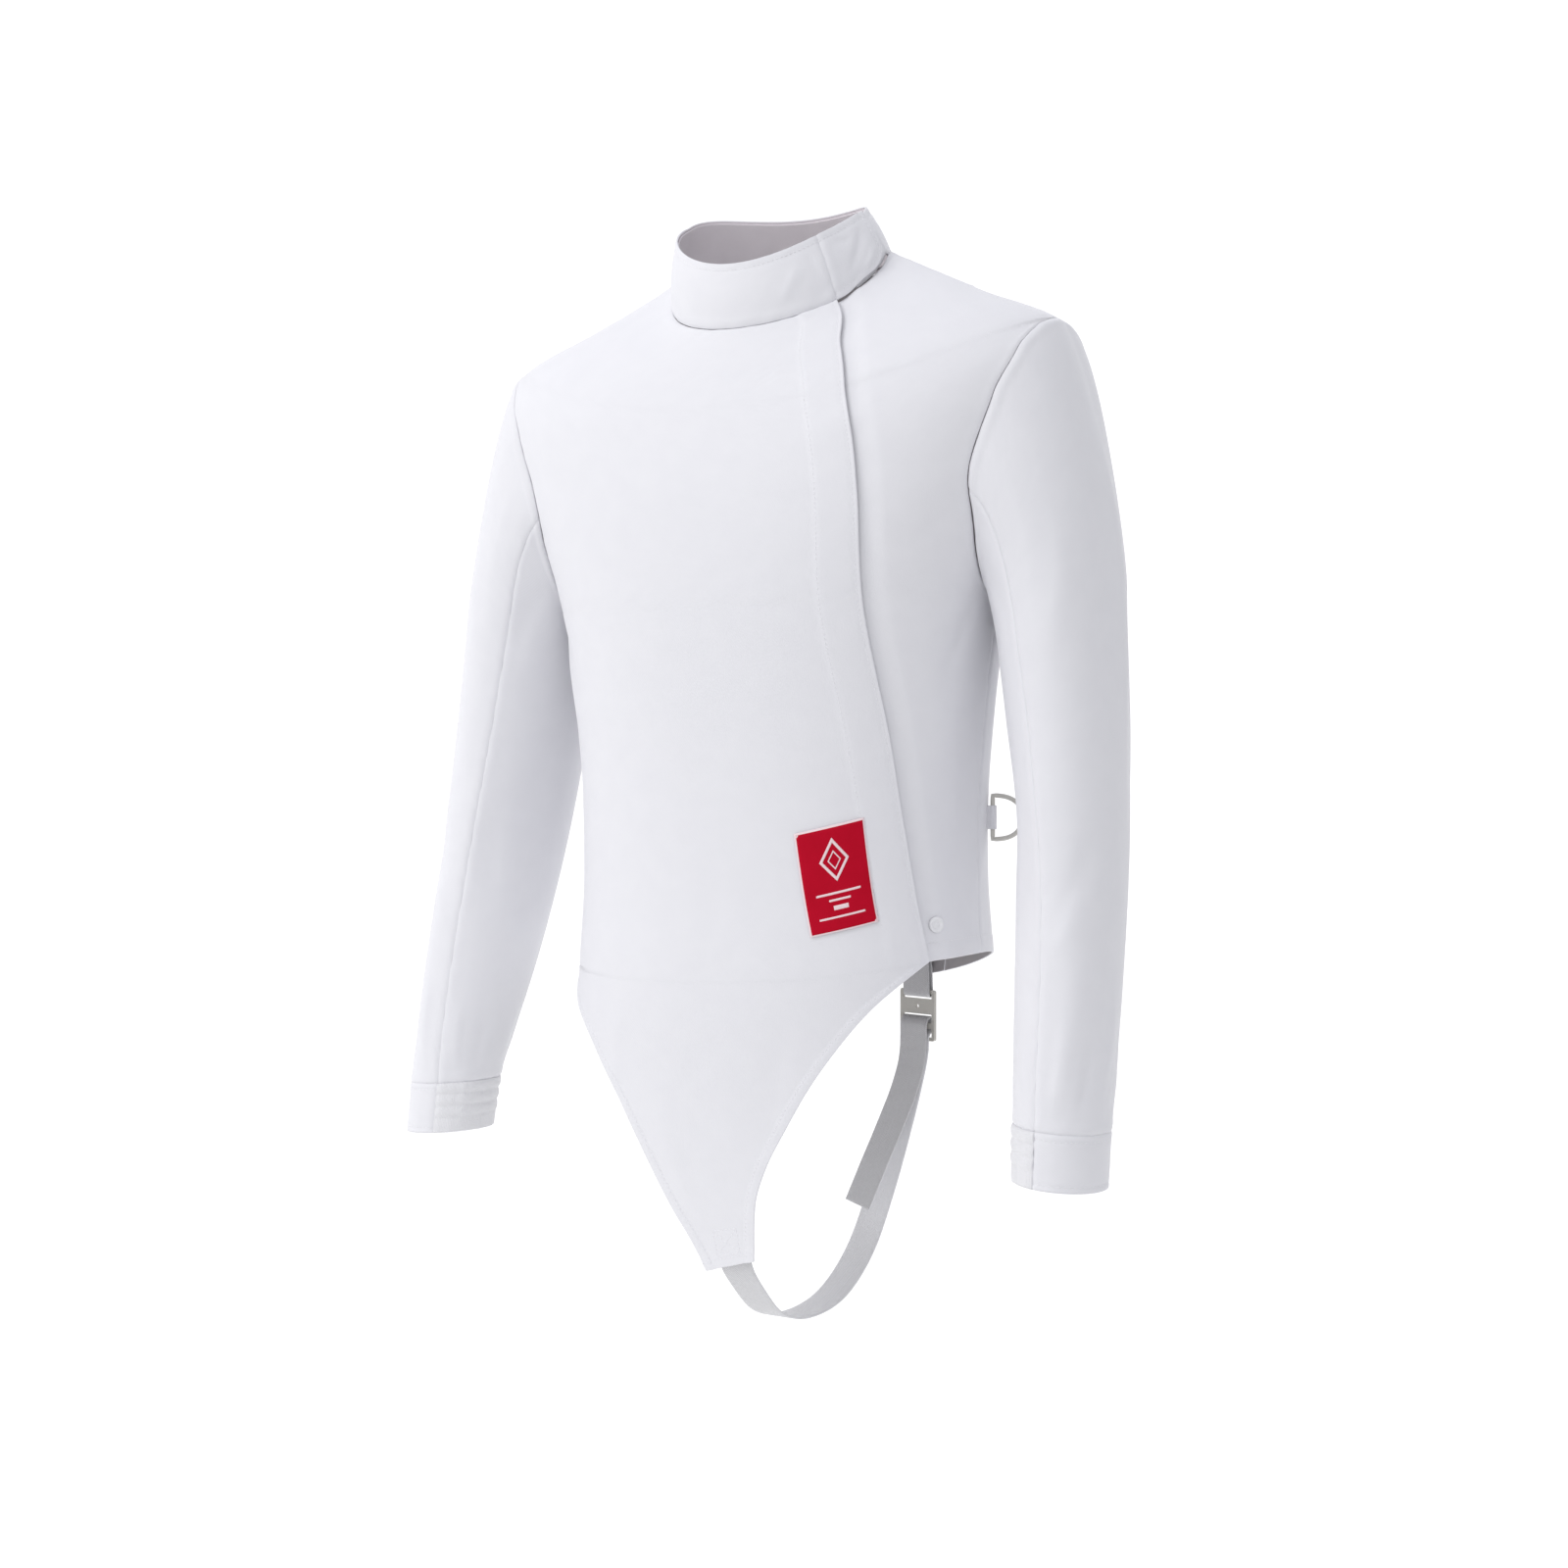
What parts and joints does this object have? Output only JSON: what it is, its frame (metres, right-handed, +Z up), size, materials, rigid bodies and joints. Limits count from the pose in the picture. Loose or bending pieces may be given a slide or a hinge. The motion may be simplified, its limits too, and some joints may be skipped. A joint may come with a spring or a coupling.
{
  "type": "fencing jacket",
  "caption": "White long-sleeved fencing jacket in its worn shape, with a stand collar, side-front closing edge, pointed front tongue, under-crotch strap with buckle and side D-ring.",
  "frame": {"origin": "centre of the neck base, level with the neck ends of the shoulder seams", "axes": "+X towards the wearer's left, -Y towards the front, +Z up"},
  "size_m": [0.5982, 0.2532, 0.8974],
  "materials": {
    "white_cloth": "satin twill",
    "white_elastic": "ribbed elastic",
    "grey_lining": "matt",
    "red_label": "woven",
    "grey_webbing": "woven webbing",
    "ivory_plastic": "satin",
    "white_snap": "satin"
  },
  "bodies": {
    "jacket": {"front_panel": "white_cloth", "front_under_panel": "white_cloth", "back_panel": "white_cloth", "back_side_left": "white_cloth", "back_side_right": "white_cloth", "sleeve_upper_left": "white_cloth", "sleeve_upper_right": "white_cloth", "sleeve_under_left": "white_cloth", "sleeve_under_right": "white_cloth", "cuff_band_left": "white_cloth", "cuff_band_right": "white_cloth", "cuff_elastic_left": "white_elastic", "cuff_elastic_right": "white_elastic", "collar": "white_cloth", "collar_tab": "white_cloth", "collar_lining": "grey_lining", "label": "red_label", "button": "white_snap", "crotch_strap": "grey_webbing", "buckle_loop": "grey_webbing", "buckle": "ivory_plastic", "d_ring_loop": "white_cloth"},
    "ring": {"d_ring": "ivory_plastic"}
  },
  "joints": [
    {"name": "d_ring_swivel", "type": "hinge", "parent": "jacket", "child": "ring", "pos_m": [0.17014, 0.02452, -0.44593], "axis": [0, 0, 1], "range_deg": [-70, 70]}
  ]
}
